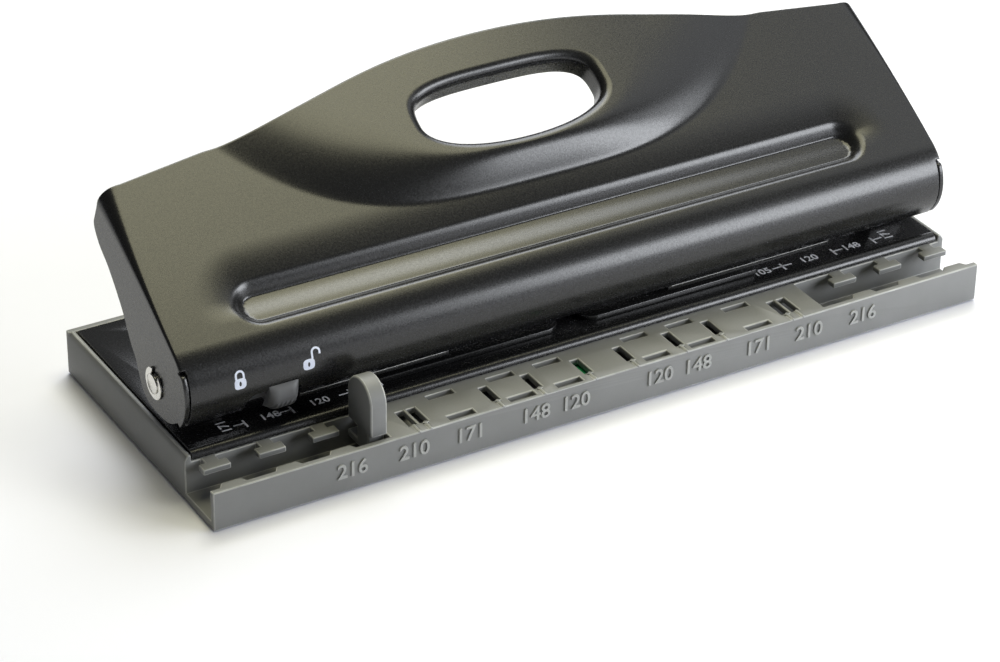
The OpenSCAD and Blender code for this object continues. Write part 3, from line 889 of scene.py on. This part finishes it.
BOX_FACES = [(3, 2, 1, 0), (4, 5, 6, 7), (0, 1, 5, 4), (1, 2, 6, 5), (2, 3, 7, 6), (3, 0, 4, 7)]


def bars(name, boxes, body, finish, material=None, bevel=0.0):
    """Several small bars in one piece."""
    points, faces = [], []
    for low, high in boxes:
        start = len(points)
        points += box_points(low, high)
        faces += [tuple(start + k for k in face) for face in BOX_FACES]
    return mesh_piece(name, points, faces, body, finish, material, bevel)


def ring_points(centre, r, thick, first, last, steps=12):
    """Inner and outer points of an arc-shaped band."""
    line = []
    for k in range(steps + 1):
        a = first + (last - first) * k / steps
        for radius in (r - thick / 2, r + thick / 2):
            line.append((centre[0] + radius * math.cos(a), centre[1] + radius * math.sin(a)))
    return line


def oval(centre, across, high, power, steps=24):
    """Points of an oval that a higher power makes squarer."""
    line = []
    for k in range(steps):
        c, d = math.cos(2 * math.pi * k / steps), math.sin(2 * math.pi * k / steps)
        line.append((centre[0] + across * math.copysign(abs(c) ** (2 / power), c),
            centre[1] + high * math.copysign(abs(d) ** (2 / power), d)))
    return line


def padlock(name, x, is_open):
    """A small printed padlock: a body with a keyhole, and a shackle that is shut or swung open."""
    skin = 0.04
    steps = 24
    body_y = -0.9
    shackle_r = 0.98
    band = 0.5
    shift = 1.95 if is_open else 0.0
    height = 1.75 if is_open else 1.2
    free_foot = 1.1 if is_open else 0.3
    flat = oval((0, body_y), 1.5, 1.35, 3.2, steps) + oval((0, body_y), 0.3, 0.6, 2.0, steps)
    faces = [(k, (k + 1) % steps, steps + (k + 1) % steps, steps + k) for k in range(steps)]
    start = len(flat)
    arc = ring_points((shift, height), shackle_r, band, 0.0, math.pi)
    flat += arc
    faces += [(start + k, start + k + 1, start + k + 3, start + k + 2) for k in range(0, len(arc) - 2, 2)]
    for leg, foot in ((shift - shackle_r, 0.3), (shift + shackle_r, free_foot)):
        start = len(flat)
        left, right = leg - band / 2, leg + band / 2
        flat += [(left, foot), (right, foot), (right, height), (left, height)]
        faces.append((start, start + 1, start + 2, start + 3))
    points = [on_nose(x + px, PADLOCK_ANGLE - py / NOSE_R, NOSE_R + skin) for px, py in flat]
    mesh_piece(name, points, faces, "handle", "black_enamel", LOCK_PRINT, thickness=0.05)


# ---- Scene ----

def window_pointer(x, y, z):
    """Points of a small flat arrowhead on the deck, its tip towards the window behind it."""
    flat = [(-0.9, -0.1), (0.0, -0.6), (0.9, -0.1), (0.0, 0.6)]
    return [Vector((x + px, y + py, z + pz)) for pz in (-0.1, 0.35) for px, py in flat]


def build_tray():
    """The tray and its feet, the raised figures on its front wall and the small pointers at its windows."""
    refined("tray", 0.3, 3)
    refined("rubber_feet", 0.3)
    for words, x in WALL_PAGES:
        for side in (-1, 1):
            name = f"page_{words}_{'left' if side < 0 else 'right'}"
            spot = facing_front(side * x, TRAY_FRONT, WALL_FIGURE_Z)
            place_text(name, words, WALL_FIGURE, WALL_FIGURE_DEPTH, spot, "tray", "grey_plastic", FIGURE_HIGHLIGHT)
    points, faces = [], []
    for x in POINTER_X:
        for side in (-1, 1):
            start = len(points)
            points += window_pointer(side * x, TRAY_FRONT + POINTER_Y, DECK_TOP)
            faces += [tuple(start + k for k in face) for face in BOX_FACES]
    mesh_piece("window_pointers", points, faces, "tray", "grey_plastic", bevel=0.1)


def build_guide():
    refined("paper_guide", 0.45, 3)
    refined("guide_flag", 0.2)


def build_frame():
    """The black sheet-metal frame with its shaft, and the print on the base plate."""
    refined("base_plate", 0.25)
    refined("ear_left", 0.2)
    refined("ear_right", 0.2)
    refined("front_guide", 0.2)
    refined("rear_rail", 0.2)
    refined("frame_rivets", 0.3)
    refined("pivot_shaft", 0.25)
    refined("shaft_clips", 0.08, 1)
    print_plate()
    # The bars below are a painted highlight along the paper gap's lip edge
    low = box_mm("front_guide")[0]
    y0, y1 = (low.y + y for y in LIP_HIGHLIGHT_Y)
    z0, z1 = (low.z + z for z in LIP_HIGHLIGHT_Z)
    highlight_bars = [((x0, y0, z0), (x1, y1, z1)) for x0, x1 in LIP_HIGHLIGHT]
    bars("lip_painted_highlight", highlight_bars, "frame", "black_enamel", PAINTED_LIP_HIGHLIGHT)


def print_plate():
    """Ticks with a dash on their outer side, or both sides of the first, and page lengths beside them."""
    top = PLATE_HIGH.z
    ink = top + PRINT_DEPTH
    row = PLATE_LOW.y + TICK_ROW
    boxes = []
    for side in (-1, 1):
        for x in TICK_X:
            left, right = side * x - TICK_HALF_WIDTH, side * x + TICK_HALF_WIDTH
            boxes.append(((left, row - TICK_HALF, top), (right, row + TICK_HALF, ink)))
            left, right = sorted((side * x, side * (x + TICK_DASH)))
            if x == TICK_X[0]:
                left, right = side * x - TICK_DASH, side * x + TICK_DASH
            boxes.append(((left, row + 0.05, top), (right, row + 0.45, ink)))
    bars("plate_marks", boxes, "frame", "black_enamel", PRINT)
    for side in (-1, 1):
        for words, x, turn in PLATE_PAGES:
            name = f"plate_{words}_{'left' if side < 0 else 'right'}"
            spot = facing_up(side * x, row + (1.2 if turn else 0.2), top + PRINT_DEPTH / 2, turn)
            place_text(name, words, PLATE_FIGURE, PRINT_DEPTH, spot, "frame", "black_enamel", PRINT)


def coil_points(x, y, z0, z1, turns, coil_r, wire_r):
    """Points and faces of a coil spring with closer turns at both ends."""
    sides, per_turn = 10, 28
    closing = 0.48
    steps = int(turns * per_turn)
    points = []
    for t in range(steps + 1):
        share = t / steps
        a = 2 * math.pi * turns * share
        eased = share - closing * math.sin(2 * math.pi * share) / (2 * math.pi)
        z = z0 + wire_r + (z1 - z0 - 2 * wire_r) * eased
        for k in range(sides):
            b = 2 * math.pi * k / sides
            r = coil_r + wire_r * math.cos(b)
            points.append(Vector((x + r * math.cos(a), y + r * math.sin(a), z + wire_r * math.sin(b))))
    faces = grid_faces(steps + 1, sides, closed=True)
    faces.append(tuple(range(sides))[::-1])
    faces.append(tuple(steps * sides + k for k in range(sides)))
    return points, faces


def build_spring(side, i):
    """One pin's spring, a coil with closer turns at its ends in the place of the CAD spring."""
    node = f"pin_spring_{side}_{i}"
    low, high = box_mm(node)
    wire = 0.35
    turns = 5.0
    middle = (low + high) / 2
    coil_r = (high.y - low.y) / 2 - wire
    points, faces = coil_points(middle.x, middle.y, low.z, high.z, turns, coil_r, wire)
    spring = mesh_piece(f"spring_{side}_{i}", points, faces, f"head_{side}", "bright_steel")
    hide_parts(node)
    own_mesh(spring)


def build_heads():
    """The two sliding heads with their pins, clips and springs, and the die plates."""
    for side in ("left", "right"):
        refined(f"die_plate_{side}", 0.15)
        refined(f"head_bracket_{side}", 0.2)
        refined(f"head_rivets_{side}", 0.3)
        refined(f"pin_clips_{side}", 0.1, 1)
        for i in (1, 2, 3):
            refined(f"pin_{side}_{i}", 0.15)
            build_spring(side, i)


def build_floor():
    """A plain pale floor, far larger than the view."""
    half = 3000
    mesh = bpy.data.meshes.new("floor")
    corners = [(-half, -half), (half, -half), (half, half), (-half, half)]
    mesh.from_pydata([(x * MM, y * MM, 0) for x, y in corners], [], [(0, 1, 2, 3)])
    floor = new_object("floor", mesh)
    mesh.materials.append(surface("paper_white", (0.84, 0.845, 0.93), (0.86, 0.865, 0.95), (0.7, 0.8),
        grain=300, bump=0.02, mottle=8))


def area_light(name, place, aim, size, power, colour):
    """A soft box at place, turned to aim; both are in metres, and power is in watts."""
    data = bpy.data.lights.new(name, "AREA")
    data.shape = "RECTANGLE"
    data.size, data.size_y = size
    data.energy = power
    data.color = colour
    lamp = bpy.data.objects.new(name, data)
    bpy.context.scene.collection.objects.link(lamp)
    lamp.location = place
    lamp.rotation_mode = "QUATERNION"
    lamp.rotation_quaternion = (Vector(aim) - Vector(place)).to_track_quat("-Z", "Y")


def build_lights():
    """A dim studio room, one warm box overhead and cool boxes at the front, the right and the back."""
    world = bpy.data.worlds.new("studio")
    bpy.context.scene.world = world
    world.use_nodes = True
    back = world.node_tree.nodes["Background"]
    back.inputs["Color"].default_value = (0.93, 0.96, 1.0, 1)
    back.inputs["Strength"].default_value = 0.09
    warm = (1.0, 0.96, 0.66)
    cool = (0.92, 0.95, 1.0)
    area_light("warm_box", (0.14, 0.11, 0.84), (0.14, 0.11, 0), (0.6, 0.6), 5.2, warm)
    area_light("top_right_box", (0.78, -0.1, 0.8), (0.1, 0, 0.03), (0.5, 0.5), 0.9, cool)
    area_light("front_box", (0.46, -0.5, 0.2), (0.05, 0, 0.03), (0.4, 0.28), 4.0, cool)
    area_light("right_box", (0.85, -0.42, 0.5), (0.05, 0, 0.05), (0.25, 0.25), 1.0, cool)
    area_light("back_box", (0.5, 0.75, 1.1), (0, 0, 0), (0.9, 0.9), 14.0, cool)
    bpy.context.scene.view_settings.view_transform = "Standard"


def build_camera():
    """Seen from the front left and above, slightly rolled, through a long lens."""
    turn, rise, roll = math.radians(-30.54), math.radians(30.9), math.radians(0.63)
    distance = 778.11
    aim = Vector((-38.48, TRAY_FRONT, 27.86))
    back = Vector((math.sin(turn) * math.cos(rise), -math.cos(turn) * math.cos(rise), math.sin(rise)))
    right = (-back).cross(Vector((0, 0, 1))).normalized()
    up = right.cross(-back)
    tilted_right = right * math.cos(roll) + up * math.sin(roll)
    tilted_up = up * math.cos(roll) - right * math.sin(roll)
    data = bpy.data.cameras.new("camera")
    data.sensor_width = 36.0
    data.lens = 121.28
    data.shift_x = 0.0208
    data.shift_y = 0.0198
    data.clip_start = 0.01
    data.clip_end = 20
    camera = bpy.data.objects.new("camera", data)
    bpy.context.scene.collection.objects.link(camera)
    spin = Matrix((tilted_right, tilted_up, back)).transposed().to_4x4()
    camera.matrix_world = Matrix.Translation((aim + back * distance) * MM) @ spin
    bpy.context.scene.camera = camera


build_handle()
refined("press_bar", 0.25)
build_lock()
padlock("closed_padlock", CLOSED_X, False)
padlock("open_padlock", OPEN_X, True)
build_tray()
build_guide()
build_frame()
build_heads()
build_floor()
build_lights()
build_camera()
